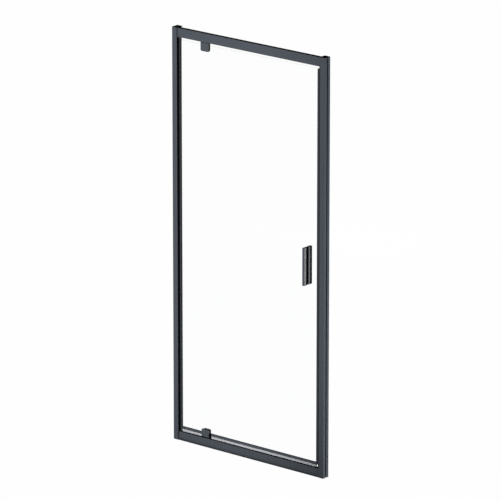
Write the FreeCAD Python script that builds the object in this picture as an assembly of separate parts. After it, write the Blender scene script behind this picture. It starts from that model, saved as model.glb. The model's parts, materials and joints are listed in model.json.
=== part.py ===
"""Framed pivot shower door: a glass leaf on two pivots, in a frame between two walls.

Units are millimetres. X runs across the doorway, Y from the room (minus) into the
shower (plus), and Z upwards. The origin is on the underside of the sill, half way
between the walls, in the middle plane of the glass.
"""
import FreeCAD
import Part
import os

V = FreeCAD.Vector

# ---------------------------------------------------------------- overall size
overall_width = 900.0
overall_height = 2000.0

# ---------------------------------------------------------------- fixed frame
stile_face = 31.5            # wall to the rail ends
stile_front_width = 27.5     # front face of an upright, without its rebate
stile_rebate = 4.0           # depth of the rebate along the front face's inner edge
stile_front = -11.5          # room side of the uprights
stile_box_depth = 15.0       # hollow front box of an upright
stile_wall = 1.5
lip_back = 10.0              # shower side of the inner lip, flush with the rails
lip_thickness = 6.0          # the inner lip, which carries the rail ends
stile_web = 1.6              # web from the front box to the tongue
tongue_wall = 1.6

channel_reach = 22.0         # wall profile, out from the wall
channel_front = 11.0
channel_depth = 16.0
channel_wall = 1.6
tongue_play = 0.3            # tongue in the wall profile, each face
tongue_wall_gap = 4.0        # tongue to the wall: room for a wall out of true

rail_height = 43.0
rail_front = -10.0
rail_back = 10.0
rail_wall = 1.5

cap_thickness = 2.0
cap_play = 0.2

# ---------------------------------------------------------------- frame screws
wall_hole_radius = 3.25
wall_hole_from_end = 100.0

rail_screw_radius = 2.0
rail_screw_head_radius = 3.6
rail_screw_head_height = 2.6
rail_screw_length = 26.0
rail_screw_y = -4.0
rail_screw_rows = (8.0, 22.0)    # from the outer edge of the rail
driver_hole_radius = 5.0
port_radius = 3.8                # screw port inside a rail

adjust_screw_radius = 1.9
adjust_screw_head_radius = 3.8
adjust_screw_head_height = 2.2
adjust_screw_length = 9.0
adjust_screw_inset = 14.0        # from the wall
adjust_screw_from_end = 250.0
adjust_slot_length = 12.0
screw_cap_radius = 6.0
screw_cap_wall = 0.8

# ---------------------------------------------------------------- glass leaf
glass_thickness = 6.0
glass_gap_left = 6.0         # stile face to the glass edge, pivot side
glass_gap_right = 10.0       # stile face to the glass edge, closing side
glass_gap_bottom = 16.0      # rail to the glass edge
glass_gap_top = 13.0
glass_corner = 3.0

# ---------------------------------------------------------------- pivots
pivot_from_wall = 192.5
running_gap = 0.3            # leaf to frame, where they pass or bear
pin_radius = 4.0
pin_fit = 0.05               # radial, pin in its bush
pin_engagement = 22.0
bush_wall = 1.95
bush_length = 24.0
bush_flange_radius = 8.0
bush_flange = 1.0
washer_radius = 9.0
washer_thickness = 1.0
pin_hole_play = 0.3

block_length = 44.0
block_height = 15.0
block_play = 0.2
block_screw_radius = 2.0
block_screw_head_radius = 3.8
block_screw_length = 12.0
block_screw_offset = 15.0

# ---------------------------------------------------------------- pivot clamps
clamp_width = 50.0
clamp_height = 41.0
clamp_back_width = 41.0
clamp_plate = 5.0
clamp_corner = 7.0
clamp_edge = 1.0
gasket_thickness = 0.5
gasket_inset = 1.5
notch_half_width = 16.5
notch_from_rail = 33.0       # rail to the rounded end of the notch
notch_corner = 4.0
boss_play = 0.5              # boss in the glass notch
core_half_width = 8.0        # raised core round the bush
core_front_wall = 1.5        # cover left in front of the core
core_play = 0.1
clamp_screw_radius = 2.5
clamp_screw_head_radius = 4.6
clamp_screw_offset = 11.5
clamp_screw_height = 20.0    # from the end of the clamp beside the rail
clamp_screw_tip = 1.5        # cover left in front of a screw

# ---------------------------------------------------------------- seals
seal_leg = 1.8
seal_reach = 4.5             # legs over the glass, pivot side
seal_web = 2.0               # pivot-side seal, round the glass edge
closing_reach = 6.0
closing_seal_depth = 4.6     # closing-side seal, beyond the glass edge
magnet_thickness = 2.8
magnet_width = 7.0
magnet_play = 0.05
jamb_depth = 5.0
jamb_width = 11.0
jamb_magnet_cover = 0.8

stop_reach = 6.0             # stop seal, out from the stile
stop_thickness = 3.0
stop_gap = 0.4               # stop seal to the leaf's seal

carrier_leg = 1.2
carrier_reach = 9.6          # legs up over the glass
carrier_web = 2.0
carrier_end_gap = 0.4
carrier_left_gap = 4.5       # pivot-side seal to the carrier
wiper_base = 1.5
wiper_half_width = 3.6
wiper_blade = 1.2
wiper_rail_gap = 3.2
wiper_set_back = 1.0         # blade ends, in from the carrier's ends

# ---------------------------------------------------------------- handle
handle_from_right_wall = 107.4
handle_centre_z = 1002.0
handle_length = 180.0
handle_width = 12.0
handle_reach = 26.0          # each bar, out from the glass
handle_grip_depth = 13.5     # metal of the front bar
handle_back_depth = 11.0     # metal of the back bar
handle_neck_inset = 1.5      # finger grooves along both sides of the spacer
handle_edge = 0.8
handle_pad = 0.5
handle_screw_pitch = 140.0
handle_screw_radius = 2.5
handle_screw_head_radius = 4.2
handle_screw_head_height = 4.0
handle_screw_bite = 10.0     # thread in the front bar
sleeve_play = 0.1
glass_hole_radius = 5.0
head_play = 0.2

# ---------------------------------------------------------------- worked out
wall_x = -overall_width / 2
stile_inner_x = wall_x + stile_face
stile_edge_x = wall_x + stile_front_width
frame_height = overall_height - cap_thickness
sill_top = rail_height
head_bottom = frame_height - rail_height
stile_box_back = stile_front + stile_box_depth
channel_back = channel_front + channel_depth
channel_mid_y = channel_front + channel_depth / 2
tongue_front = channel_front + channel_wall + tongue_play
tongue_back = channel_back - channel_wall - tongue_play
web_x = stile_inner_x - lip_thickness
glass_left = stile_inner_x + glass_gap_left
glass_right = -stile_inner_x - glass_gap_right
glass_bottom = sill_top + glass_gap_bottom
glass_top = head_bottom - glass_gap_top
glass_half = glass_thickness / 2
pivot_x = wall_x + pivot_from_wall
notch_top = sill_top + notch_from_rail
clamp_start = washer_thickness + running_gap + bush_flange
seal_half = glass_half + seal_leg
plate_inner = glass_half + gasket_thickness
plate_outer = plate_inner + clamp_plate
bush_radius = pin_radius + pin_fit + bush_wall
handle_x = overall_width / 2 - handle_from_right_wall
handle_low = handle_centre_z - handle_length / 2
handle_near = glass_half + handle_pad
handle_far = glass_half + handle_reach
handle_grip_y = -handle_far + handle_grip_depth
handle_back_y = handle_near + handle_back_depth
wall_hole_heights = [wall_hole_from_end, overall_height / 2, overall_height - wall_hole_from_end]
adjust_heights = [adjust_screw_from_end, overall_height / 2, overall_height - adjust_screw_from_end]
cap_spigot = rail_screw_rows[0] - rail_screw_head_radius - cap_play
handle_screw_heights = [handle_centre_z + handle_screw_pitch * half for half in (-0.5, 0.5)]


# ---------------------------------------------------------------- helpers
def box(x0, x1, y0, y1, z0, z1):
    """A box between two corners."""
    return Part.makeBox(x1 - x0, y1 - y0, z1 - z0, V(x0, y0, z0))


def extrude_z(points, z0, z1):
    """The outline of (x, y) points, carried from z0 up to z1."""
    corners = [V(x, y, z0) for x, y in points]
    face = Part.Face(Part.makePolygon(corners + corners[:1]))
    return face.extrude(V(0, 0, z1 - z0))


def extrude_x(points, x0, x1):
    """The outline of (y, z) points, carried from x0 across to x1."""
    corners = [V(x0, y, z) for y, z in points]
    face = Part.Face(Part.makePolygon(corners + corners[:1]))
    return face.extrude(V(x1 - x0, 0, 0))


def mirrored(shape):
    """The same piece on the other side of the doorway."""
    return shape.mirror(V(0, 0, 0), V(1, 0, 0))


def upside_down(shape):
    """The same piece at the other end of the leaf."""
    return shape.mirror(V(0, 0, frame_height / 2), V(0, 0, 1))


def round_edges(shape, radius, wanted):
    """Fillet the edges that wanted(edge) picks."""
    return shape.makeFillet(radius, [edge for edge in shape.Edges if wanted(edge)])


def along(edge, direction):
    """True for a straight edge that runs along a direction."""
    if edge.Curve.TypeId != "Part::GeomLine":
        return False
    run = edge.Vertexes[1].Point - edge.Vertexes[0].Point
    return run.cross(direction).Length < run.Length * 1e-6


def at_y(edge, y):
    """True for an edge that lies in the plane of one y."""
    return abs(edge.BoundBox.YMin - y) < 1e-6 and abs(edge.BoundBox.YMax - y) < 1e-6


def pan_screw(seat, direction, radius, length, head_radius, head_height):
    """A screw with a domed-edge head on its seat and its shank along the direction."""
    shank = Part.makeCylinder(radius, length, seat, direction)
    head = Part.makeCylinder(head_radius, head_height, seat - direction * head_height, direction)
    far_rim = [edge for edge in head.Edges
               if edge.Curve.TypeId == "Part::GeomCircle"
               and (edge.CenterOfMass - seat).Length > head_height / 2]
    head = head.makeFillet(head_height / 3, far_rim)
    return cut_socket(shank.fuse(head), seat - direction * head_height, direction, head_radius / 2,
                      head_height / 2)


def flat_screw(face, direction, radius, length, head_radius):
    """A countersunk screw whose head is flush with a face."""
    cone = countersink(face, direction, radius, head_radius)
    shank = Part.makeCylinder(radius, length, face, direction)
    return cut_socket(cone.fuse(shank), face, direction, head_radius / 2, (head_radius - radius) / 2)


def countersink(face, direction, radius, head_radius):
    """The 90-degree cone from a head radius down to a shank radius."""
    return Part.makeCone(head_radius, radius, head_radius - radius, face, direction)


def cut_socket(screw, centre, direction, radius, depth):
    """Cut a hexagon socket into a screw's head."""
    side = V(0, 0, 1) if abs(direction.z) < 0.5 else V(1, 0, 0)
    corners = []
    for step in range(6):
        turn = FreeCAD.Rotation(direction, 60 * step)
        corners.append(centre + turn.multVec(side) * radius)
    hexagon = Part.Face(Part.makePolygon(corners + corners[:1]))
    return screw.cut(hexagon.extrude(direction * depth))


# ---------------------------------------------------------------- fixed frame
def wall_profile():
    """Left wall profile: a U that opens into the doorway, holed for the wall screws."""
    inner_x = wall_x + channel_reach
    outline = [
        (wall_x, channel_front),
        (inner_x, channel_front),
        (inner_x, channel_front + channel_wall),
        (wall_x + channel_wall, channel_front + channel_wall),
        (wall_x + channel_wall, channel_back - channel_wall),
        (inner_x, channel_back - channel_wall),
        (inner_x, channel_back),
        (wall_x, channel_back),
    ]
    profile = extrude_z(outline, 0, frame_height)
    for z in wall_hole_heights:
        hole = Part.makeCylinder(wall_hole_radius, channel_wall, V(wall_x, channel_mid_y, z), V(1, 0, 0))
        profile = profile.cut(hole)
    for z in adjust_heights:
        profile = profile.cut(adjust_slot(z))
    return profile


def adjust_slot(z):
    """Slot for one adjusting screw, through the rear flange of the left wall profile."""
    middle = wall_x + adjust_screw_inset
    half = adjust_slot_length / 2 - adjust_screw_radius
    y0 = channel_back - channel_wall
    slot = box(middle - half, middle + half, y0, channel_back,
               z - adjust_screw_radius, z + adjust_screw_radius)
    for end in (middle - half, middle + half):
        slot = slot.fuse(Part.makeCylinder(adjust_screw_radius, channel_wall, V(end, y0, z), V(0, 1, 0)))
    return slot


def stile():
    """Left upright: front box, inner lip, web and the tongue inside the wall profile."""
    tongue_x = wall_x + tongue_wall_gap
    outline = [
        (wall_x, stile_front),
        (stile_edge_x, stile_front),
        (stile_edge_x, stile_front + stile_rebate),
        (stile_inner_x, stile_front + stile_rebate),
        (stile_inner_x, lip_back),
        (web_x + stile_web, lip_back),
        (web_x + stile_web, tongue_back),
        (tongue_x, tongue_back),
        (tongue_x, tongue_front),
        (web_x, tongue_front),
        (web_x, stile_box_back),
        (wall_x, stile_box_back),
    ]
    upright = extrude_z(outline, 0, frame_height)
    upright = upright.cut(box(wall_x + stile_wall, stile_edge_x - stile_wall,
                              stile_front + stile_wall, stile_box_back - stile_wall, 0, frame_height))
    upright = upright.cut(box(tongue_x + tongue_wall, web_x,
                              tongue_front + tongue_wall, tongue_back - tongue_wall, 0, frame_height))
    for z in rail_screw_heights():
        driver_way = Part.makeCylinder(driver_hole_radius, stile_wall, V(wall_x, rail_screw_y, z),
                                       V(1, 0, 0))
        shank_way = Part.makeCylinder(rail_screw_radius, stile_inner_x - stile_edge_x + stile_wall,
                                      V(stile_edge_x - stile_wall, rail_screw_y, z), V(1, 0, 0))
        upright = upright.cut(driver_way).cut(shank_way)
    for z in adjust_heights:
        start = V(wall_x + adjust_screw_inset, tongue_back - tongue_wall, z)
        upright = upright.cut(Part.makeCylinder(adjust_screw_radius, tongue_wall, start, V(0, 1, 0)))
    return upright


def rail_screw_heights():
    """Heights of the rail screws: two in the sill and two in the head."""
    low = list(rail_screw_rows)
    return low + [frame_height - row for row in low]


def bottom_rail():
    """Sill: a hollow rail between the uprights, with screw ports and the pivot's holes."""
    length_left = stile_inner_x
    length_right = -stile_inner_x
    rail = box(length_left, length_right, rail_front, rail_back, 0, rail_height)
    rail = rail.cut(box(length_left, length_right, rail_front + rail_wall, rail_back - rail_wall,
                        rail_wall, rail_height - rail_wall))
    span = length_right - length_left
    for z in rail_screw_rows:
        port = Part.makeCylinder(port_radius, span, V(length_left, rail_screw_y, z), V(1, 0, 0))
        rib = box(length_left, length_right, rail_front + rail_wall, rail_screw_y,
                  z - rail_wall / 2, z + rail_wall / 2)
        rail = rail.fuse(port).fuse(rib)
    for z in rail_screw_rows:
        bore = Part.makeCylinder(rail_screw_radius, span, V(length_left, rail_screw_y, z), V(1, 0, 0))
        rail = rail.cut(bore)
    pin_way = Part.makeCylinder(pin_radius + pin_hole_play, rail_wall,
                                V(pivot_x, 0, sill_top - rail_wall), V(0, 0, 1))
    rail = rail.cut(pin_way)
    return cut_block_screws(rail).removeSplitter()


def cut_block_screws(piece):
    """Countersunk holes for the two screws that hold the pivot block under the sill's top."""
    for place in block_screw_places():
        piece = piece.cut(countersink(place, V(0, 0, -1), block_screw_radius, block_screw_head_radius))
        piece = piece.cut(Part.makeCylinder(block_screw_radius, block_screw_length, place, V(0, 0, -1)))
    return piece


def block_screw_places():
    """Where the pivot block's screws meet the top of the sill."""
    return [V(pivot_x + side * block_screw_offset, 0, sill_top) for side in (-1, 1)]


def top_cap():
    """Left cap: closes the top of the upright and the wall profile."""
    outline = [
        (wall_x, stile_front),
        (stile_edge_x, stile_front),
        (stile_edge_x, stile_front + stile_rebate),
        (stile_inner_x, stile_front + stile_rebate),
        (stile_inner_x, channel_back),
        (wall_x, channel_back),
    ]
    plate = extrude_z(outline, frame_height, overall_height)
    plate = round_edges(plate, cap_thickness / 2,
                        lambda edge: edge.BoundBox.ZMin > overall_height - cap_thickness / 4)
    inset = stile_wall + cap_play
    spigot = box(wall_x + inset, stile_edge_x - inset, stile_front + inset, stile_box_back - inset,
                 frame_height - cap_spigot, frame_height)
    return plate.fuse(spigot).removeSplitter()


def rail_screws():
    """Eight screws through the uprights into the screw ports of the rails."""
    screws = []
    for z in rail_screw_heights():
        seat = V(stile_edge_x - stile_wall, rail_screw_y, z)
        left = pan_screw(seat, V(1, 0, 0), rail_screw_radius, rail_screw_length,
                         rail_screw_head_radius, rail_screw_head_height)
        screws += [left, mirrored(left)]
    return Part.makeCompound(screws)


def adjusting_screws():
    """Six screws that lock the uprights in their wall profiles."""
    screws = []
    for z in adjust_heights:
        seat = V(wall_x + adjust_screw_inset, channel_back, z)
        left = pan_screw(seat, V(0, -1, 0), adjust_screw_radius, adjust_screw_length,
                         adjust_screw_head_radius, adjust_screw_head_height)
        screws += [left, mirrored(left)]
    return Part.makeCompound(screws)


def adjusting_screw_caps():
    """Six push-on caps over the heads of the adjusting screws."""
    caps = []
    depth = adjust_screw_head_height + screw_cap_wall
    for z in adjust_heights:
        seat = V(wall_x + adjust_screw_inset, channel_back, z)
        shell = Part.makeCylinder(screw_cap_radius, depth, seat, V(0, 1, 0))
        shell = round_edges(shell, screw_cap_wall,
                            lambda edge: edge.BoundBox.YMin > channel_back + depth / 2)
        shell = shell.cut(Part.makeCylinder(adjust_screw_head_radius, adjust_screw_head_height,
                                            seat, V(0, 1, 0)))
        caps += [shell, mirrored(shell)]
    return Part.makeCompound(caps)


def stop_seal():
    """Rubber stop on the left upright: the leaf's short side closes against it."""
    back = -seal_half - stop_gap
    front = back - stop_thickness
    tip = stile_inner_x + stop_reach
    outline = [
        (stile_inner_x, front),
        (tip, front + stop_thickness / 3),
        (tip, back),
        (stile_inner_x, back),
    ]
    return extrude_z(outline, sill_top, head_bottom)


def jamb_profile():
    """Magnet holder on the right upright, full height between the rails."""
    outer_x = -stile_inner_x
    holder = box(outer_x - jamb_depth, outer_x, -jamb_width / 2, jamb_width / 2, sill_top, head_bottom)
    half = magnet_width / 2 + magnet_play
    slot = box(jamb_magnet_x() - magnet_play, jamb_magnet_x() + magnet_thickness + magnet_play,
               -half, half, sill_top, head_bottom)
    return holder.cut(slot)


def jamb_magnet_x():
    """Closing side of the jamb's magnet."""
    return -stile_inner_x - jamb_depth + jamb_magnet_cover


def jamb_magnet():
    """Magnet bar in the jamb profile."""
    half = magnet_width / 2
    start = jamb_magnet_x()
    return box(start, start + magnet_thickness, -half, half, sill_top, head_bottom)


# ---------------------------------------------------------------- pivots
def pivot_block():
    """Block under the sill's top that holds the lower pivot pin."""
    half = block_length / 2
    top = sill_top - rail_wall
    block = box(pivot_x - half, pivot_x + half, rail_front + rail_wall + block_play,
                rail_back - rail_wall - block_play, top - block_height, top)
    block = round_edges(block, rail_wall, lambda edge: along(edge, V(0, 0, 1)))
    block = block.cut(Part.makeCylinder(pin_radius, block_height, V(pivot_x, 0, top - block_height),
                                        V(0, 0, 1)))
    return cut_block_screws(block)


def pivot_block_screws():
    """The two screws of the lower pivot block."""
    return Part.makeCompound([
        flat_screw(place, V(0, 0, -1), block_screw_radius, block_screw_length, block_screw_head_radius)
        for place in block_screw_places()])


def pivot_pin():
    """Lower pin: fixed in its block, and up into the leaf's bush."""
    foot = sill_top - rail_wall - block_height
    tip = sill_top + clamp_start + pin_engagement
    pin = Part.makeCylinder(pin_radius, tip - foot, V(pivot_x, 0, foot), V(0, 0, 1))
    rims = [edge for edge in pin.Edges if edge.BoundBox.ZMin > tip - pin_radius and
            edge.BoundBox.ZMax - edge.BoundBox.ZMin < pin_radius]
    return pin.makeChamfer(pin_radius / 4, rims)


def thrust_washer():
    """Washer on the sill that carries the leaf's weight."""
    washer = Part.makeCylinder(washer_radius, washer_thickness, V(pivot_x, 0, sill_top), V(0, 0, 1))
    return washer.cut(Part.makeCylinder(pin_radius, washer_thickness, V(pivot_x, 0, sill_top),
                                        V(0, 0, 1)))


def pivot_bush():
    """Flanged bush in the lower clamp, turning on the pin."""
    start = V(pivot_x, 0, sill_top + clamp_start)
    bush = Part.makeCylinder(bush_radius, bush_length, start, V(0, 0, 1))
    flange = Part.makeCylinder(bush_flange_radius, bush_flange, start - V(0, 0, bush_flange), V(0, 0, 1))
    bore = Part.makeCylinder(pin_radius + pin_fit, bush_length + bush_flange,
                             start - V(0, 0, bush_flange), V(0, 0, 1))
    return bush.fuse(flange).cut(bore).removeSplitter()


# ---------------------------------------------------------------- pivot clamps
def clamp_plate_shape(width, y_inner, y_outer):
    """A clamp's plate, rounded at the corners away from the rail and along its outer rim."""
    half = width / 2
    start = sill_top + clamp_start
    end = start + clamp_height
    plate = box(pivot_x - half, pivot_x + half, min(y_inner, y_outer), max(y_inner, y_outer), start, end)
    plate = round_edges(plate, clamp_corner,
                        lambda edge: along(edge, V(0, 1, 0)) and edge.BoundBox.ZMin > end - clamp_edge)
    return round_edges(plate, clamp_edge, lambda edge: at_y(edge, y_outer))


def clamp_screw_places():
    """Where the clamp's screws meet its back face."""
    z = sill_top + clamp_start + clamp_screw_height
    return [V(pivot_x + side * clamp_screw_offset, plate_outer, z) for side in (-1, 1)]


def core_front():
    """Front of the core that goes round the bush."""
    return -plate_outer + core_front_wall + core_play


def clamp_body():
    """Lower clamp, shower side: plate, boss through the glass notch and core for the bush."""
    start = sill_top + clamp_start
    boss_half = notch_half_width - boss_play
    boss_top = notch_top - boss_play
    body = clamp_plate_shape(clamp_back_width, plate_inner, plate_outer)
    boss = box(pivot_x - boss_half, pivot_x + boss_half, -plate_inner, plate_inner, start, boss_top)
    boss = round_edges(boss, notch_corner,
                       lambda edge: along(edge, V(0, 1, 0)) and edge.BoundBox.ZMin > boss_top - boss_play)
    core = box(pivot_x - core_half_width, pivot_x + core_half_width, core_front(), plate_inner,
               start, boss_top)
    body = body.fuse(boss).fuse(core)
    body = body.cut(Part.makeCylinder(bush_radius, bush_length, V(pivot_x, 0, start), V(0, 0, 1)))
    for place in clamp_screw_places():
        body = body.cut(countersink(place, V(0, -1, 0), clamp_screw_radius, clamp_screw_head_radius))
        body = body.cut(Part.makeCylinder(clamp_screw_radius, plate_outer + plate_inner, place,
                                          V(0, -1, 0)))
    return body.removeSplitter()


def clamp_cover():
    """Lower clamp, room side: a plain cover with a pocket for the core."""
    start = sill_top + clamp_start
    pocket_top = notch_top - boss_play + core_play
    half = core_half_width + core_play
    cover = clamp_plate_shape(clamp_width, -plate_inner, -plate_outer)
    cover = cover.cut(box(pivot_x - half, pivot_x + half, -plate_outer + core_front_wall, -plate_inner,
                          start, pocket_top))
    for place in clamp_screw_places():
        foot = V(place.x, -plate_outer + clamp_screw_tip, place.z)
        thread = clamp_plate - clamp_screw_tip
        cover = cover.cut(Part.makeCylinder(clamp_screw_radius, thread, foot, V(0, 1, 0)))
    return cover


def clamp_screws():
    """The two screws that draw the lower clamp's halves together."""
    length = 2 * plate_outer - clamp_screw_tip
    return Part.makeCompound([
        flat_screw(place, V(0, -1, 0), clamp_screw_radius, length, clamp_screw_head_radius)
        for place in clamp_screw_places()])


def clamp_gasket(width, side):
    """Gasket between the glass and one plate of the lower clamp; side is -1 for the room."""
    half = width / 2 - gasket_inset
    top = sill_top + clamp_start + clamp_height - gasket_inset
    y = sorted((side * glass_half, side * plate_inner))
    gasket = box(pivot_x - half, pivot_x + half, y[0], y[1], glass_bottom, top)
    gasket = round_edges(gasket, clamp_corner - gasket_inset,
                         lambda edge: along(edge, V(0, 1, 0)) and edge.BoundBox.ZMin > top - gasket_inset)
    window = box(pivot_x - notch_half_width, pivot_x + notch_half_width, y[0], y[1],
                 glass_bottom, notch_top)
    return gasket.cut(window)


# ---------------------------------------------------------------- leaf
def notch():
    """The glass notch of the lower clamp, from the sill up to its rounded end."""
    cut = box(pivot_x - notch_half_width, pivot_x + notch_half_width, -glass_half, glass_half,
              sill_top, notch_top)
    return round_edges(cut, notch_corner, lambda edge: along(edge, V(0, 1, 0)))


def glass_panel():
    """The pane, with a notch at each pivot and two holes for the handle."""
    pane = box(glass_left, glass_right, -glass_half, glass_half, glass_bottom, glass_top)
    pane = round_edges(pane, glass_corner, lambda edge: along(edge, V(0, 1, 0)))
    pane = pane.cut(notch()).cut(upside_down(notch()))
    for z in handle_screw_heights:
        hole = Part.makeCylinder(glass_hole_radius, glass_thickness, V(handle_x, -glass_half, z),
                                 V(0, 1, 0))
        pane = pane.cut(hole)
    return pane


def hinge_edge_seal():
    """U-shaped seal over the glass edge on the pivot side."""
    tip = glass_left + seal_reach
    start = glass_left - seal_web
    outline = [
        (start, -seal_half),
        (tip, -seal_half),
        (tip, -glass_half),
        (glass_left, -glass_half),
        (glass_left, glass_half),
        (tip, glass_half),
        (tip, seal_half),
        (start, seal_half),
    ]
    return extrude_z(outline, glass_bottom, glass_top)


def closing_edge_seal():
    """Seal over the glass edge on the closing side, with a pocket for its magnet."""
    tip = glass_right - closing_reach
    end = glass_right + closing_seal_depth
    outline = [
        (end, -seal_half),
        (tip, -seal_half),
        (tip, -glass_half),
        (glass_right, -glass_half),
        (glass_right, glass_half),
        (tip, glass_half),
        (tip, seal_half),
        (end, seal_half),
    ]
    seal = extrude_z(outline, glass_bottom, glass_top)
    half = magnet_width / 2 + magnet_play
    start = closing_magnet_x()
    pocket = box(start - magnet_play, start + magnet_thickness + magnet_play, -half, half,
                 glass_bottom, glass_top)
    return seal.cut(pocket)


def closing_magnet_x():
    """Glass side of the leaf's magnet."""
    return glass_right + (closing_seal_depth - magnet_thickness) / 2


def closing_edge_magnet():
    """Magnet bar in the closing seal."""
    half = magnet_width / 2
    start = closing_magnet_x()
    return box(start, start + magnet_thickness, -half, half, glass_bottom, glass_top)


def sill_runs():
    """The two stretches of the leaf's bottom edge, left and right of the clamp."""
    side = clamp_width / 2 + carrier_end_gap
    left_start = glass_left + seal_reach + carrier_left_gap
    right_end = glass_right - closing_reach - carrier_end_gap
    return {"short": (left_start, pivot_x - side), "long": (pivot_x + side, right_end)}


def bottom_carrier(x0, x1):
    """Clip-on carrier along the bottom edge of the glass."""
    outer = glass_half + carrier_leg
    low = glass_bottom - carrier_web
    high = glass_bottom + carrier_reach
    outline = [
        (-outer, low),
        (outer, low),
        (outer, high),
        (glass_half, high),
        (glass_half, glass_bottom),
        (-glass_half, glass_bottom),
        (-glass_half, high),
        (-outer, high),
    ]
    return extrude_x(outline, x0, x1)


def bottom_wiper(x0, x1):
    """Soft wiper under the carrier: a base with two blades that end above the sill."""
    top = glass_bottom - carrier_web
    base = top - wiper_base
    low = sill_top + wiper_rail_gap
    wide = wiper_half_width
    outline = [
        (-wide, low),
        (-wide, top),
        (wide, top),
        (wide, low),
        (wide - wiper_blade, low),
        (wide - wiper_blade, base),
        (wiper_blade - wide, base),
        (wiper_blade - wide, low),
    ]
    return extrude_x(outline, x0 + wiper_set_back, x1 - wiper_set_back)


# ---------------------------------------------------------------- handle
def handle_block(y0, y1, inset):
    """A full-length block of the handle between two depths, narrowed on both sides by the inset."""
    half = handle_width / 2 - inset
    return box(handle_x - half, handle_x + half, y0, y1, handle_low, handle_low + handle_length)


def cut_at_screws(piece, y0, y1, radius):
    """Round holes between two depths at both of the handle's screws."""
    for z in handle_screw_heights:
        piece = piece.cut(Part.makeCylinder(radius, y1 - y0, V(handle_x, y0, z), V(0, 1, 0)))
    return piece


def handle_front_bar():
    """Metal grip in the room, with blind threads for the two screws."""
    bar = round_edges(handle_block(-handle_far, handle_grip_y, 0), handle_edge,
                      lambda edge: at_y(edge, -handle_far))
    return cut_at_screws(bar, handle_grip_y - handle_screw_bite, handle_grip_y, handle_screw_radius)


def handle_front_spacer():
    """Dark spacer between the front bar and the glass, which leaves room for the fingers."""
    spacer = handle_block(handle_grip_y, -handle_near, handle_neck_inset)
    return cut_at_screws(spacer, handle_grip_y, -handle_near, handle_screw_radius)


def handle_back_bar():
    """Metal bar on the shower side of the glass; the screws pass through it."""
    bar = handle_block(handle_near, handle_back_y, 0)
    return cut_at_screws(bar, handle_near, handle_back_y, handle_screw_radius)


def handle_back_cover():
    """Dark cover that snaps over the screw heads behind the back bar."""
    cover = round_edges(handle_block(handle_back_y, handle_far, 0), handle_edge,
                        lambda edge: at_y(edge, handle_far))
    return cut_at_screws(cover, handle_back_y, handle_back_y + handle_screw_head_height + head_play,
                         handle_screw_head_radius + head_play)


def handle_pads():
    """Two pads between the handle and the glass, holed for the screws."""
    front = handle_block(-handle_near, -glass_half, handle_neck_inset)
    back = handle_block(glass_half, handle_near, 0)
    return Part.makeCompound([
        cut_at_screws(front, -handle_near, -glass_half, handle_screw_radius),
        cut_at_screws(back, glass_half, handle_near, handle_screw_radius)])


def handle_sleeves():
    """Two sleeves that keep the handle's screws off the glass."""
    sleeves = []
    for z in handle_screw_heights:
        foot = V(handle_x, -glass_half, z)
        sleeve = Part.makeCylinder(glass_hole_radius - sleeve_play, glass_thickness, foot, V(0, 1, 0))
        sleeves.append(sleeve.cut(Part.makeCylinder(handle_screw_radius, glass_thickness, foot,
                                                    V(0, 1, 0))))
    return Part.makeCompound(sleeves)


def handle_screws():
    """Two screws from behind the back bar into the front bar."""
    length = handle_back_y - handle_grip_y + handle_screw_bite
    return Part.makeCompound([
        pan_screw(V(handle_x, handle_back_y, z), V(0, -1, 0), handle_screw_radius, length,
                  handle_screw_head_radius, handle_screw_head_height)
        for z in handle_screw_heights])


# ---------------------------------------------------------------- all the pieces
def pieces():
    """Every node of the door, by name."""
    short = sill_runs()["short"]
    long = sill_runs()["long"]
    nodes = {
        "wall_profile_left": wall_profile(),
        "wall_profile_right": mirrored(wall_profile()),
        "stile_left": stile(),
        "stile_right": mirrored(stile()),
        "bottom_rail": bottom_rail(),
        "top_rail": upside_down(bottom_rail()),
        "top_cap_left": top_cap(),
        "top_cap_right": mirrored(top_cap()),
        "rail_screws": rail_screws(),
        "adjusting_screws": adjusting_screws(),
        "adjusting_screw_caps": adjusting_screw_caps(),
        "hinge_side_stop_seal": stop_seal(),
        "jamb_profile": jamb_profile(),
        "jamb_magnet": jamb_magnet(),
        "glass_panel": glass_panel(),
        "hinge_edge_seal": hinge_edge_seal(),
        "closing_edge_seal": closing_edge_seal(),
        "closing_edge_magnet": closing_edge_magnet(),
        "bottom_carrier_short": bottom_carrier(*short),
        "bottom_carrier_long": bottom_carrier(*long),
        "bottom_wiper_short": bottom_wiper(*short),
        "bottom_wiper_long": bottom_wiper(*long),
        "handle_front_bar": handle_front_bar(),
        "handle_front_spacer": handle_front_spacer(),
        "handle_back_bar": handle_back_bar(),
        "handle_back_cover": handle_back_cover(),
        "handle_pads": handle_pads(),
        "handle_sleeves": handle_sleeves(),
        "handle_screws": handle_screws(),
    }
    lower_pivot = {
        "pivot_block": pivot_block(),
        "pivot_block_screws": pivot_block_screws(),
        "pivot_pin": pivot_pin(),
        "thrust_washer": thrust_washer(),
        "pivot_bush": pivot_bush(),
        "clamp_body": clamp_body(),
        "clamp_cover": clamp_cover(),
        "clamp_screws": clamp_screws(),
        "clamp_front_gasket": clamp_gasket(clamp_width, -1),
        "clamp_back_gasket": clamp_gasket(clamp_back_width, 1),
    }
    for name, shape in lower_pivot.items():
        nodes["lower_" + name] = shape
        nodes["upper_" + name] = upside_down(shape)
    return nodes


os.makedirs("parts", exist_ok=True)
for node, solid in pieces().items():
    solid.exportStep(os.path.join("parts", node + ".step"))
    print(node, len(solid.Solids), "solids, valid" if solid.isValid() else "solids, NOT VALID")
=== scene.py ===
"""Looks of the pivot shower door: finishes, glass, seals, camera, lamps and floor.

All sizes are in metres, in the part's own frame: X across the doorway, Y from the
room into the shower, Z up, with the origin under the middle of the sill.
"""

import json
import math

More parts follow.
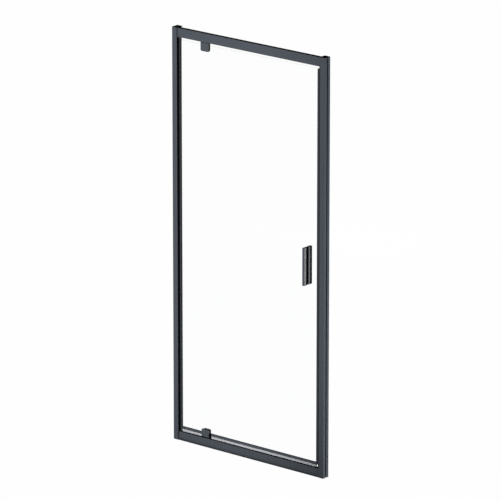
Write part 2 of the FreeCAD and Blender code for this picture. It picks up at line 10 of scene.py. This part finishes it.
import bmesh
import bpy
import numpy as np
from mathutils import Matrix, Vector


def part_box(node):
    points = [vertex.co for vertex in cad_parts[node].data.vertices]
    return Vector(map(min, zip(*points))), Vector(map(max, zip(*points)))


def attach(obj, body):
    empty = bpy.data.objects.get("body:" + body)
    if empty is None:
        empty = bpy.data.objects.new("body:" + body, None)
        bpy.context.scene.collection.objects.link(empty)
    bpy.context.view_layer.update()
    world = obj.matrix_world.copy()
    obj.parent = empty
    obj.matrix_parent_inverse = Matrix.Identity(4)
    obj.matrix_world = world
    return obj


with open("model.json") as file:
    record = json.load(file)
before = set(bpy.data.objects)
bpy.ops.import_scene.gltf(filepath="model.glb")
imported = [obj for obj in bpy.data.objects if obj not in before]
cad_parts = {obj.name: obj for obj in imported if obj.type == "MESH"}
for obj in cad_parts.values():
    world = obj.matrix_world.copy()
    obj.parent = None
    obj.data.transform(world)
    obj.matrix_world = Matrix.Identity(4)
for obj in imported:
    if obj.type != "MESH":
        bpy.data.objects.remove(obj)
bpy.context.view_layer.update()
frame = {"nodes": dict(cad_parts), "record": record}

MM = 0.001

# ---------------------------------------------------------------- view of the photograph
CAMERA_AZIMUTH = 39.507
CAMERA_ELEVATION = 16.869
CAMERA_DISTANCE = 24.0494
CAMERA_AIM = Vector((0.004827, 0.0, 1.011551))
CAMERA_LENS = 376.73
CAMERA_SENSOR = 36.0

# ---------------------------------------------------------------- studio
FLOOR_DROP = 0.0003
FLOOR_HALF = 60.0
FLOOR_ALBEDO = 0.2
FLOOR_WHITE_SHARE = 0.99      # of the floor's white that no shadow takes away
AMBIENT_LEVEL = 0.04
CEILING_GLOSS = 0.01          # what polished faces see overhead
CEILING_BLEND = 0.03          # half the band round the horizon where wall turns into ceiling

# Each lamp: place, aim, width, height, watts.
LAMPS = {
    "front_low": ((0.05, -1.2, 0.384), (-1.2, 0.0, 1.306), 1.0, 1.0, 20.8),
    "front_high": ((-0.11, -1.26, 1.942), (-0.6, 0.0, 2.6), 1.0, 1.0, 14.3),
    "side_right": ((4.5, -0.55, 0.4), (0.45, 0.0, 0.4), 0.8, 0.8, 92.0),
    "back_right": ((4.5, 2.5, 0.1), (0.45, 0.0, 0.1), 0.8, 0.8, 150.0),
    "back_left": ((-2.2, 3.4, 1.0), (0.0, 0.0, 1.0), 1.2, 1.2, 90.0),
}


def point_at(obj, place, aim):
    """Puts an object at a place, with its -Z axis on the aim."""
    obj.location = place
    obj.rotation_mode = "QUATERNION"
    obj.rotation_quaternion = (Vector(aim) - Vector(place)).to_track_quat("-Z", "Y")


def make_camera():
    """The camera on its line of sight: back from the aim by the azimuth and the elevation."""
    azimuth = math.radians(CAMERA_AZIMUTH)
    elevation = math.radians(CAMERA_ELEVATION)
    back = Vector((
        math.sin(azimuth) * math.cos(elevation),
        -math.cos(azimuth) * math.cos(elevation),
        math.sin(elevation),
    ))
    data = bpy.data.cameras.new("camera")
    data.lens = CAMERA_LENS
    data.sensor_width = CAMERA_SENSOR
    data.clip_end = 2 * FLOOR_HALF
    camera = bpy.data.objects.new("camera", data)
    bpy.context.collection.objects.link(camera)
    point_at(camera, CAMERA_AIM + back * CAMERA_DISTANCE, CAMERA_AIM)
    bpy.context.scene.camera = camera


def make_lamp(name, place, aim, width, height, watts):
    """A soft rectangular lamp that no camera ray sees."""
    data = bpy.data.lights.new(name, "AREA")
    data.shape = "RECTANGLE"
    data.size = width
    data.size_y = height
    data.energy = watts
    lamp = bpy.data.objects.new(name, data)
    bpy.context.collection.objects.link(lamp)
    point_at(lamp, place, aim)
    lamp.visible_camera = False
    lamp.visible_glossy = False
    lamp.visible_transmission = False


def sum_of(tree, *values):
    """The sum of some 0-to-1 sockets, held at 1."""
    total = values[0]
    for value in values[1:]:
        add = tree.nodes.new("ShaderNodeMath")
        add.operation = "ADD"
        add.use_clamp = True
        tree.links.new(total, add.inputs[0])
        tree.links.new(value, add.inputs[1])
        total = add.outputs[0]
    return total


def background_rays(tree):
    """1 for camera, glossy and transmission rays, and 0 for the rays that light things."""
    path = tree.nodes.new("ShaderNodeLightPath").outputs
    return sum_of(tree, path["Is Camera Ray"], path["Is Glossy Ray"], path["Is Transmission Ray"])


def make_world():
    """White to look at, a darker ceiling for polished faces, and a low grey light on everything."""
    world = bpy.data.worlds.new("studio")
    bpy.context.scene.world = world
    world.use_nodes = True
    tree = world.node_tree
    tree.nodes.clear()
    out = tree.nodes.new("ShaderNodeOutputWorld")
    mix = tree.nodes.new("ShaderNodeMixShader")
    light = tree.nodes.new("ShaderNodeBackground")
    light.inputs["Strength"].default_value = AMBIENT_LEVEL
    light.inputs["Color"].default_value = (1, 1, 1, 1)
    white = tree.nodes.new("ShaderNodeBackground")
    white.inputs["Color"].default_value = (1, 1, 1, 1)
    direction = tree.nodes.new("ShaderNodeTexCoord").outputs["Generated"]
    split = tree.nodes.new("ShaderNodeSeparateXYZ")
    tree.links.new(direction, split.inputs[0])
    overhead = tree.nodes.new("ShaderNodeMapRange")
    overhead.interpolation_type = "SMOOTHSTEP"
    overhead.inputs["From Min"].default_value = -CEILING_BLEND
    overhead.inputs["From Max"].default_value = CEILING_BLEND
    overhead.inputs["To Min"].default_value = 1.0
    overhead.inputs["To Max"].default_value = CEILING_GLOSS
    tree.links.new(split.outputs["Z"], overhead.inputs["Value"])
    path = tree.nodes.new("ShaderNodeLightPath").outputs
    strength = tree.nodes.new("ShaderNodeMix")
    strength.data_type = "FLOAT"
    strength.inputs["A"].default_value = 1.0
    tree.links.new(path["Is Glossy Ray"], strength.inputs["Factor"])
    tree.links.new(overhead.outputs["Result"], strength.inputs["B"])
    tree.links.new(strength.outputs["Result"], white.inputs["Strength"])
    tree.links.new(background_rays(tree), mix.inputs[0])
    tree.links.new(light.outputs[0], mix.inputs[1])
    tree.links.new(white.outputs[0], mix.inputs[2])
    tree.links.new(mix.outputs[0], out.inputs["Surface"])


def make_floor():
    """A pale floor that looks white and keeps a soft part of the door's shadow."""
    mesh = bpy.data.meshes.new("floor")
    half = FLOOR_HALF
    z = -FLOOR_DROP
    mesh.from_pydata([(-half, -half, z), (half, -half, z), (half, half, z), (-half, half, z)],
                     [], [(0, 1, 2, 3)])
    floor = bpy.data.objects.new("floor", mesh)
    bpy.context.collection.objects.link(floor)
    material = bpy.data.materials.new("pale_floor")
    material.use_nodes = True
    tree = material.node_tree
    tree.nodes.clear()
    out = tree.nodes.new("ShaderNodeOutputMaterial")
    mix = tree.nodes.new("ShaderNodeMixShader")
    share = tree.nodes.new("ShaderNodeMath")
    share.operation = "MULTIPLY"
    share.inputs[1].default_value = FLOOR_WHITE_SHARE
    matt = tree.nodes.new("ShaderNodeBsdfDiffuse")
    matt.inputs["Color"].default_value = (FLOOR_ALBEDO, FLOOR_ALBEDO, FLOOR_ALBEDO, 1)
    glow = tree.nodes.new("ShaderNodeEmission")
    tree.links.new(background_rays(tree), share.inputs[0])
    tree.links.new(share.outputs[0], mix.inputs[0])
    tree.links.new(matt.outputs[0], mix.inputs[1])
    tree.links.new(glow.outputs[0], mix.inputs[2])
    tree.links.new(mix.outputs[0], out.inputs["Surface"])
    mesh.materials.append(material)


# ---------------------------------------------------------------- node groups
COLOUR = "NodeSocketColor"
NUMBER = "NodeSocketFloat"
VECTOR = "NodeSocketVector"
MIX_FIRST, MIX_SECOND, MIX_RESULT = 6, 7, 2    # colour sockets of a Mix node
PLAIN_GREY = (0.1, 0.1, 0.1, 1)
GRAIN_DETAIL = 2.0            # octaves of a fine noise
CLOUD_DETAIL = 3.0            # octaves of a slow change of shade
# FACING sets where the painted side and top tones take over from the front colour.
FACING = (0.6, 0.85)          # part of a normal where a side turns into a front or a top
FOOT_HEIGHT = 18.0 * MM       # of the shade along a lower edge at the floor


def new_group(name, inputs, outputs):
    """An empty shader group with its sockets, given as name to (type, default)."""
    group = bpy.data.node_groups.new(name, "ShaderNodeTree")
    for socket, (kind, default) in inputs.items():
        entry = group.interface.new_socket(name=socket, in_out="INPUT", socket_type=kind)
        entry.default_value = default
    for socket, kind in outputs.items():
        group.interface.new_socket(name=socket, in_out="OUTPUT", socket_type=kind)
    given = group.nodes.new("NodeGroupInput").outputs
    made = group.nodes.new("NodeGroupOutput").inputs
    return group, given, made


def feed(tree, value, socket):
    """Links a socket, or sets a number or a colour, on an input."""
    if isinstance(value, (int, float, tuple)):
        socket.default_value = value
    else:
        tree.links.new(value, socket)


def calculate(tree, operation, *values):
    """One math node on sockets or numbers."""
    node = tree.nodes.new("ShaderNodeMath")
    node.operation = operation
    for value, socket in zip(values, node.inputs):
        feed(tree, value, socket)
    return node.outputs[0]


def noise(tree, coordinates, scale, detail=GRAIN_DETAIL):
    """A noise texture's value on given coordinates."""
    node = tree.nodes.new("ShaderNodeTexNoise")
    node.inputs["Detail"].default_value = detail
    tree.links.new(coordinates, node.inputs["Vector"])
    feed(tree, scale, node.inputs["Scale"])
    return node.outputs["Fac"]


def around_one(tree, value, depth):
    """A 0-to-1 value as a factor that swings by the depth about 1."""
    return calculate(tree, "MULTIPLY_ADD", calculate(tree, "SUBTRACT", value, 0.5), depth, 1.0)


def scaled(tree, vector, factor):
    """A colour or vector times a number."""
    node = tree.nodes.new("ShaderNodeVectorMath")
    node.operation = "SCALE"
    tree.links.new(vector, node.inputs[0])
    feed(tree, factor, node.inputs["Scale"])
    return node.outputs[0]


def blended(tree, factor, first, second):
    """The first colour carried to the second by a factor."""
    node = tree.nodes.new("ShaderNodeMix")
    node.data_type = "RGBA"
    tree.links.new(factor, node.inputs["Factor"])
    feed(tree, first, node.inputs[MIX_FIRST])
    feed(tree, second, node.inputs[MIX_SECOND])
    return node.outputs[MIX_RESULT]


def ramp(tree, value, start, end):
    """0 below the start, 1 above the end, and a smooth step between them."""
    node = tree.nodes.new("ShaderNodeMapRange")
    node.interpolation_type = "SMOOTHSTEP"
    node.inputs["From Min"].default_value = start
    node.inputs["From Max"].default_value = end
    tree.links.new(value, node.inputs["Value"])
    return node.outputs["Result"]


def coordinate(tree, kind="Object"):
    """The piece's own coordinates, or its own normal."""
    return tree.nodes.new("ShaderNodeTexCoord").outputs[kind]


def make_coat_group():
    """Powder coat: cloudy tone, orange-peel grain, painted light and shade on sides and tops by
    their normals, and a painted shade along the foot.
    """
    group, given, made = new_group(
        "coat_grain_and_painted_shading",
        {
            "Colour": (COLOUR, PLAIN_GREY),
            "Side Colour": (COLOUR, PLAIN_GREY),
            "Top Colour": (COLOUR, PLAIN_GREY),
            "Roughness": (NUMBER, 0.5),
            "Cloud Scale": (NUMBER, 3.0),
            "Cloud Depth": (NUMBER, 0.05),
            "Grain Scale": (NUMBER, 900.0),
            "Grain Depth": (NUMBER, 0.05),
            "Foot Shade": (NUMBER, 0.0),
        },
        {"Colour": COLOUR, "Roughness": NUMBER, "Height": NUMBER},
    )
    place = coordinate(group)
    cloud = noise(group, place, given["Cloud Scale"], CLOUD_DETAIL)
    cloud = around_one(group, cloud, given["Cloud Depth"])
    grain = noise(group, place, given["Grain Scale"])
    shade = calculate(group, "MULTIPLY", cloud, around_one(group, grain, given["Grain Depth"]))
    # Painted shade that darkens the lowest FOOT_HEIGHT towards the floor.
    level = group.nodes.new("ShaderNodeSeparateXYZ")
    group.links.new(place, level.inputs[0])
    below = calculate(group, "SUBTRACT", ramp(group, level.outputs["Z"], 0.0, FOOT_HEIGHT), 1.0)
    foot = calculate(group, "MULTIPLY_ADD", below, given["Foot Shade"], 1.0)
    shade = calculate(group, "MULTIPLY", shade, foot)
    # Sides and tops take their own colours by their normals: painted light and painted shade.
    facing = group.nodes.new("ShaderNodeSeparateXYZ")
    group.links.new(coordinate(group, "Normal"), facing.inputs[0])
    frontal = ramp(group, calculate(group, "ABSOLUTE", facing.outputs["Y"]), *FACING)
    upward = ramp(group, facing.outputs["Z"], *FACING)
    colour = blended(group, frontal, given["Side Colour"], given["Colour"])
    colour = blended(group, upward, colour, given["Top Colour"])
    group.links.new(scaled(group, colour, shade), made["Colour"])
    group.links.new(calculate(group, "MULTIPLY", cloud, given["Roughness"]), made["Roughness"])
    group.links.new(grain, made["Height"])
    return group


def make_drawn_group():
    """Drawn stock: fine lines along one direction of an extrusion, over a slow change of shade."""
    group, given, made = new_group(
        "drawn_lines",
        {
            "Colour": (COLOUR, PLAIN_GREY),
            "Roughness": (NUMBER, 0.5),
            "Squeeze": (VECTOR, (1.0, 1.0, 0.02)),
            "Line Scale": (NUMBER, 1500.0),
            "Line Depth": (NUMBER, 0.1),
            "Cloud Scale": (NUMBER, 6.0),
            "Cloud Depth": (NUMBER, 0.1),
        },
        {"Colour": COLOUR, "Roughness": NUMBER, "Height": NUMBER},
    )
    place = coordinate(group)
    squeezed = group.nodes.new("ShaderNodeVectorMath")
    squeezed.operation = "MULTIPLY"
    group.links.new(place, squeezed.inputs[0])
    group.links.new(given["Squeeze"], squeezed.inputs[1])
    lines = noise(group, squeezed.outputs[0], given["Line Scale"])
    cloud = noise(group, place, given["Cloud Scale"], CLOUD_DETAIL)
    cloud = around_one(group, cloud, given["Cloud Depth"])
    shade = calculate(group, "MULTIPLY", cloud, around_one(group, lines, given["Line Depth"]))
    group.links.new(scaled(group, given["Colour"], shade), made["Colour"])
    group.links.new(calculate(group, "MULTIPLY", shade, given["Roughness"]), made["Roughness"])
    group.links.new(lines, made["Height"])
    return group


COAT_GROUP = make_coat_group()
DRAWN_GROUP = make_drawn_group()


# ---------------------------------------------------------------- finishes
# Strength and distance of each relief.
COAT_RELIEF = (0.35, 0.06 * MM)
CAST_RELIEF = (0.3, 0.05 * MM)
DRAWN_RELIEF = (0.2, 0.04 * MM)
COAT_CLOUD_SCALE = 2.2
COAT_CLOUD_DEPTH = 0.07

GLASS_IOR = 1.05
GLASS_ROUGHNESS = 0.0
PANE_FACING = 0.7             # part of a normal above which a face of the glass is a pane's
GLASS_EDGE = (0.62, 0.78, 0.72, 1)
GLASS_PANE = (0.985, 0.99, 0.988, 1)
GLASS_SHADE = (0.96, 0.97, 0.965, 1)

COAT = (0.080, 0.091, 0.108)
# Painted shade for top faces.
SHADED_COAT = (0.020, 0.022, 0.026)
# Painted light for the handle's sides.
PAINTED_SIDE_LIGHT = (0.27, 0.275, 0.295)
# Painted shade for the caps' sides.
CAP_SIDE_SHADE = (0.03, 0.032, 0.036)
BLACK = (0.003, 0.003, 0.0035)
RUBBER_BLACK = (0.003, 0.003, 0.003)
SEAL_GREY = (0.046, 0.05, 0.057)
WIPER_WHITE = (0.69, 0.705, 0.735)
MAGNET_BROWN = (0.03, 0.028, 0.027)
STEEL = (0.55, 0.55, 0.56)
CAST_METAL = (0.5, 0.51, 0.52)
GREY_PLASTIC = (0.05, 0.05, 0.055)

# Front, side and top colours of the coated pieces; where a side or top colour differs from the
# front, it is painted shade, and on the handle's sides painted light.
PROFILE_COLOURS = (COAT, COAT, SHADED_COAT)
CAP_COLOURS = (COAT, CAP_SIDE_SHADE, SHADED_COAT)
# The black on the clamps' sides and tops is painted shade.
CLAMP_COLOURS = (COAT, BLACK, BLACK)
# The handle: painted light on its sides and painted shade on its top.
HANDLE_COLOURS = (COAT, PAINTED_SIDE_LIGHT, SHADED_COAT)
ALL_BLACK = (BLACK, BLACK, BLACK)
ALL_GREY = (GREY_PLASTIC, GREY_PLASTIC, GREY_PLASTIC)
ALL_CAST = (CAST_METAL, CAST_METAL, CAST_METAL)

# Factors on the object coordinates that stretch the die lines upwards or across.
UP = (1.0, 1.0, 0.02)
ACROSS = (0.02, 1.0, 1.0)


def finish(name, group, values, relief, **constants):
    """A material: one group's colour, roughness and height, and the shader's own constants."""
    material = bpy.data.materials.new(name)
    material.use_nodes = True
    tree = material.node_tree
    shader = tree.nodes["Principled BSDF"]
    surface = tree.nodes.new("ShaderNodeGroup")
    surface.node_tree = group
    for socket, value in values.items():
        surface.inputs[socket].default_value = value
    bump = tree.nodes.new("ShaderNodeBump")
    bump.inputs["Strength"].default_value, bump.inputs["Distance"].default_value = relief
    tree.links.new(surface.outputs["Height"], bump.inputs["Height"])
    tree.links.new(surface.outputs["Colour"], shader.inputs["Base Color"])
    tree.links.new(surface.outputs["Roughness"], shader.inputs["Roughness"])
    tree.links.new(bump.outputs["Normal"], shader.inputs["Normal"])
    for socket, value in constants.items():
        shader.inputs[socket.replace("_", " ")].default_value = value
    return material


def coat_values(colours, roughness, grain_scale, grain_depth):
    """The coat group's values that every finish with that texture sets."""
    front, side, top = colours
    return {
        "Colour": (*front, 1),
        "Side Colour": (*side, 1),
        "Top Colour": (*top, 1),
        "Roughness": roughness,
        "Grain Scale": grain_scale,
        "Grain Depth": grain_depth,
    }


def coated(name, colours, roughness, grain_scale=1100.0, grain_depth=0.16, specular=0.1,
           foot_shade=0.0):
    """Powder-coated metal or a moulded piece, in its front, side and top colours, where the side
    and top ones hold painted light and shade.

    The foot shade is painted shade: the part of its colour that it loses towards the floor.
    """
    values = coat_values(colours, roughness, grain_scale, grain_depth)
    values["Cloud Scale"] = COAT_CLOUD_SCALE
    values["Cloud Depth"] = COAT_CLOUD_DEPTH
    values["Foot Shade"] = foot_shade
    return finish(name, COAT_GROUP, values, COAT_RELIEF, Specular_IOR_Level=specular)


def drawn(name, colour, roughness, squeeze, line_scale=1500.0, **constants):
    """Extruded stock with its die lines along the direction that the squeeze stretches."""
    return finish(name, DRAWN_GROUP, {
        "Colour": (*colour, 1),
        "Roughness": roughness,
        "Squeeze": squeeze,
        "Line Scale": line_scale,
    }, DRAWN_RELIEF, **constants)


def clear_glass():
    """Clear toughened glass: colourless panes, green ground edges, open to lamp light."""
    material = bpy.data.materials.new("toughened_glass")
    material.use_nodes = True
    tree = material.node_tree
    shader = tree.nodes["Principled BSDF"]
    facing = tree.nodes.new("ShaderNodeSeparateXYZ")
    tree.links.new(coordinate(tree, "Normal"), facing.inputs[0])
    level = calculate(tree, "ABSOLUTE", facing.outputs["Y"])
    pane = calculate(tree, "GREATER_THAN", level, PANE_FACING)
    tint = blended(tree, pane, GLASS_EDGE, GLASS_PANE)
    tree.links.new(tint, shader.inputs["Base Color"])
    shader.inputs["Roughness"].default_value = GLASS_ROUGHNESS
    shader.inputs["IOR"].default_value = GLASS_IOR
    shader.inputs["Transmission Weight"].default_value = 1.0
    out = tree.nodes["Material Output"]
    path = tree.nodes.new("ShaderNodeLightPath")
    passing = tree.nodes.new("ShaderNodeBsdfTransparent")
    passing.inputs["Color"].default_value = GLASS_SHADE
    mix = tree.nodes.new("ShaderNodeMixShader")
    tree.links.new(path.outputs["Is Shadow Ray"], mix.inputs[0])
    tree.links.new(shader.outputs[0], mix.inputs[1])
    tree.links.new(passing.outputs[0], mix.inputs[2])
    tree.links.new(mix.outputs[0], out.inputs["Surface"])
    return material


CAST_VALUES = coat_values(ALL_CAST, roughness=0.5, grain_scale=500.0, grain_depth=0.15)

# By material slot.
FINISHES = {
    "frame_profile": coated("powder_coat_painted_top_shade", PROFILE_COLOURS, roughness=0.5),
    "frame_cap": coated("moulded_cap_painted_side_shade", CAP_COLOURS, roughness=0.55, grain_scale=1400.0),
    "clamp_metal": coated("clamp_coat_painted_shade", CLAMP_COLOURS, roughness=0.45, grain_scale=1400.0,
                          grain_depth=0.12),
    "handle_metal": coated("handle_coat_painted_side_light", HANDLE_COLOURS, roughness=0.42, grain_scale=1400.0,
                           grain_depth=0.12),
    "black_plastic": coated("black_moulding", ALL_BLACK, roughness=0.55, grain_scale=700.0,
                            grain_depth=0.3, specular=0.02),
    "black_rubber": drawn("soft_black_rubber", RUBBER_BLACK, roughness=0.75, squeeze=UP,
                          Specular_IOR_Level=0.02),
    "seal_profile": drawn("dark_seal", SEAL_GREY, roughness=0.5, squeeze=UP,
                          Specular_IOR_Level=0.1),
    "wiper": drawn("translucent_lip", WIPER_WHITE, roughness=0.45, squeeze=ACROSS,
                   Specular_IOR_Level=0.2, Transmission_Weight=0.15),
    "magnet_bar": drawn("magnet_rubber", MAGNET_BROWN, roughness=0.6, squeeze=UP,
                        Specular_IOR_Level=0.1),
    "bearing_plastic": coated("grey_acetal", ALL_GREY, roughness=0.35),
    "pivot_casting": finish("cast_block", COAT_GROUP, CAST_VALUES, CAST_RELIEF, Metallic=1.0),
    "steel_fastener": drawn("stainless_steel", STEEL, roughness=0.32, squeeze=UP,
                            line_scale=2500.0, Metallic=1.0),
    "clear_glass": clear_glass(),
}
CARRIER_FINISH = coated("carrier_coat_painted_top_shade", PROFILE_COLOURS, roughness=0.5)
# The sill's painted shade along its lower edge at the floor.
SILL_FINISH = coated("sill_coat_painted_shade", PROFILE_COLOURS, roughness=0.5, foot_shade=0.65)

# By node, where it differs from its slot's finish.
NODE_FINISHES = {
    "bottom_rail": SILL_FINISH,
    "bottom_carrier_short": CARRIER_FINISH,
    "bottom_carrier_long": CARRIER_FINISH,
}


def dress_nodes():
    """Gives every CAD node the finish of its material slot, or a special one of its own."""
    for part in frame["record"]["subparts"]:
        node = part["node"]
        for slot in frame["nodes"][node].material_slots:
            slot.material = NODE_FINISHES.get(node, FINISHES[part["material_slot"]])


# ---------------------------------------------------------------- trim pieces
TURNED_STEPS = 32             # points of one ring
X_AXIS, Z_AXIS = 0, 2


def add_piece(name, shapes, body, slot):
    """One mesh piece of closed shapes, each given as points, quads and end faces, on a body."""
    points = np.vstack([shape[0] for shape in shapes])
    faces = []
    start = 0
    for shape_points, quads, ends in shapes:
        faces += (quads + start).tolist() + (ends + start).tolist()
        start += len(shape_points)
    mesh = bpy.data.meshes.new(name)
    mesh.from_pydata(points.tolist(), [], faces)
    shell = bmesh.new()
    shell.from_mesh(mesh)
    bmesh.ops.recalc_face_normals(shell, faces=shell.faces)
    shell.to_mesh(mesh)
    shell.free()
    mesh.materials.append(FINISHES[slot])
    piece = bpy.data.objects.new(name, mesh)
    bpy.context.collection.objects.link(piece)
    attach(piece, body)


def skinned(rings):
    """Rings of equal counts joined by four-cornered faces, with one face across each end ring.

    Quad i between rings k and k + 1 has the points i and i + 1 of both, and the last
    point of a ring is joined to its first.
    """
    total, count = rings.shape[:2]
    index = np.arange(total * count).reshape(total, count)
    here = index[:-1]
    there = index[1:]
    quads = np.stack([here, np.roll(here, -1, axis=1), np.roll(there, -1, axis=1), there], axis=-1)
    return rings.reshape(-1, 3), quads.reshape(-1, 4), index[[0, -1]]


def extrusion(section, start, end, axis):
    """A closed section, in the plane of the other two axes, carried along one axis."""
    rings = np.zeros((2, len(section), 3))
    rings[:, :, np.arange(3) != axis] = section
    rings[0, :, axis] = start
    rings[1, :, axis] = end
    return skinned(rings)


def turned(profile, centre, side):
    """A profile turned about a line along X through the centre.

    A profile point (r, d) makes a ring of radius r at the depth d from the wall face,
    inwards: its point i is (x - side d, y + r cos a, z + r sin a) with a = 2 pi i / TURNED_STEPS.
    """
    radius, depth = profile.T[:, :, None]
    angle = 2.0 * math.pi * np.arange(TURNED_STEPS) / TURNED_STEPS
    x, y, z = centre
    rings = np.stack(np.broadcast_arrays(
        x - side * depth,
        y + radius * np.cos(angle),
        z + radius * np.sin(angle),
    ), axis=-1)
    return skinned(rings)


def mirrored(section):
    """The section on the other side of the doorway."""
    return section * np.array([-1.0, 1.0])


REBATE_WIDTH = 4.0 * MM
REBATE_DEPTH = 4.0 * MM
STRIP_SET_BACK = 0.3 * MM     # of its front, behind the upright's face
STRIP_CROWN = 0.25 * MM
STRIP_POINTS = 9              # across its front


def joint_strip_section():
    """Across the rebate: a flat back, and a front that runs from the upright's face to the rail's.

    The front's depth is a straight slope between both faces, less a crown of sin(pi t).
    """
    low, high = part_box("stile_left")
    rail_low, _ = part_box("bottom_rail")
    left = high.x - REBATE_WIDTH
    right = high.x
    share = np.linspace(0.0, 1.0, STRIP_POINTS)
    slope = low.y + STRIP_SET_BACK + (rail_low.y - low.y) * share
    crown = STRIP_CROWN * np.sin(math.pi * share)
    back = low.y + REBATE_DEPTH
    face = np.column_stack([left + (right - left) * share, slope - crown])
    rear = np.array([[right, back], [left, back]])
    return np.vstack([face, rear])


def make_joint_strips():
    """Strips in both uprights' rebates: black rubber, whose black also paints the shade of the
    rebates and of the gap by the closing seal, and coated where the rails meet the right one.
    """
    _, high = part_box("stile_left")
    _, sill_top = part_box("bottom_rail")
    head_low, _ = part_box("top_rail")
    left = joint_strip_section()
    right = mirrored(left)
    whole = extrusion(left, 0.0, high.z, Z_AXIS)
    foot = extrusion(right, 0.0, sill_top.z, Z_AXIS)
    middle = extrusion(right, sill_top.z, head_low.z, Z_AXIS)
    top = extrusion(right, head_low.z, high.z, Z_AXIS)
    add_piece("joint_strip_left", [whole], "frame", "black_rubber")
    # Black between the rails only, as painted shade of the gap by the closing seal.
    add_piece("joint_strip_right", [middle], "frame", "black_rubber")
    add_piece("joint_strip_right_ends", [foot, top], "frame", "frame_profile")


WALL_HOLE_HEIGHTS = (0.1, 1.0, 1.9)
WALL_HOLE_MIDDLE_Y = 19.0 * MM
RAIL_SCREW_Y = -4.0 * MM
RAIL_SCREW_HEIGHTS = (0.008, 0.022, 1.976, 1.990)
SIDES = (-1, 1)

# Radius, and depth from the wall face.
LINER_PROFILE = MM * np.array([
    [0.6, 1.9], [2.9, 1.9], [2.9, 0.2], [3.2, 0.2], [3.2, 2.4], [0.6, 2.4],
])
PLUG_PROFILE = MM * np.array([
    [2.0, 0.35], [4.0, 0.35], [4.6, 0.2], [4.9, 0.4], [4.9, 1.4], [3.8, 1.4],
])


def make_hole_trim():
    """Black liners that paint the shade inside the wall-screw holes, and coated plugs in the
    uprights' driver holes.
    """
    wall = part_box("wall_profile_right")[1].x
    liners = []
    plugs = []
    for side in SIDES:
        for z in WALL_HOLE_HEIGHTS:
            centre = (side * wall, WALL_HOLE_MIDDLE_Y, z)
            liners.append(turned(LINER_PROFILE, centre, side))
        for z in RAIL_SCREW_HEIGHTS:
            centre = (side * wall, RAIL_SCREW_Y, z)
            plugs.append(turned(PLUG_PROFILE, centre, side))
    add_piece("wall_hole_shade_liners", liners, "frame", "black_plastic")
    add_piece("driver_hole_plugs", plugs, "frame", "frame_profile")


END_BLOCK_WIDTH = 7.0 * MM
END_BLOCK_LAP = 4.0 * MM          # over the clamp's front face
END_BLOCK_LIP = 1.2 * MM          # thickness of that lap
END_BLOCK_RISE = 4.0 * MM         # above the carrier
END_BLOCK_CHAMFER = 0.5 * MM
SKIRT_LAP = 3.8 * MM              # over the clamp's lower edge
SKIRT_THICKNESS = 1.0 * MM


def make_wiper_end_block():
    """A rubber block that closes the corner between the lower clamp and the long carrier, and whose
    black also paints the deep shade at the clamp's lower corner.

    Its section from above is an L round the clamp's front edge, carried straight up to one
    chamfer below its top, and from there to the same L drawn in by the chamfer. A thin
    skirt with a chamfered top runs from it along the clamp's lower front edge: a black
    sheet that paints the shadow line under the clamp.
    """
    clamp_low, clamp_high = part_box("lower_clamp_cover")
    carrier_low, carrier_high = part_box("bottom_carrier_long")
    wiper_low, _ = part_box("bottom_wiper_long")
    side = clamp_high.x
    left = side - END_BLOCK_LAP
    right = side + END_BLOCK_WIDTH
    front = clamp_low.y - END_BLOCK_LIP
    section = np.array([
        [left, front], [right, front], [right, carrier_low.y],
        [side, carrier_low.y], [side, clamp_low.y], [left, clamp_low.y],
    ])
    inwards = np.array([[1, 1], [-1, 1], [-1, -1], [1, -1], [1, -1], [1, -1]])
    top = carrier_high.z + END_BLOCK_RISE
    rings = np.empty((3, len(section), 3))
    rings[:, :, :2] = section
    rings[2, :, :2] += END_BLOCK_CHAMFER * inwards
    rings[:, :, 2] = np.array([[wiper_low.z], [top - END_BLOCK_CHAMFER], [top]])
    skirt_front = clamp_low.y - SKIRT_THICKNESS
    skirt_top = clamp_low.z + SKIRT_LAP
    skirt = np.array([
        [skirt_front, wiper_low.z], [clamp_low.y, wiper_low.z], [clamp_low.y, skirt_top],
        [skirt_front + END_BLOCK_CHAMFER, skirt_top], [skirt_front, skirt_top - END_BLOCK_CHAMFER],
    ])
    skirt_end = (left + side) / 2     # inside the block's lap
    shapes = [skinned(rings), extrusion(skirt, clamp_low.x, skirt_end, X_AXIS)]
    add_piece("wiper_end_block", shapes, "door", "black_rubber")


bpy.context.scene.view_settings.view_transform = "Standard"
make_camera()
for lamp_name, lamp in LAMPS.items():
    make_lamp(lamp_name, *lamp)
make_world()
make_floor()
dress_nodes()
make_joint_strips()
make_hole_trim()
make_wiper_end_block()
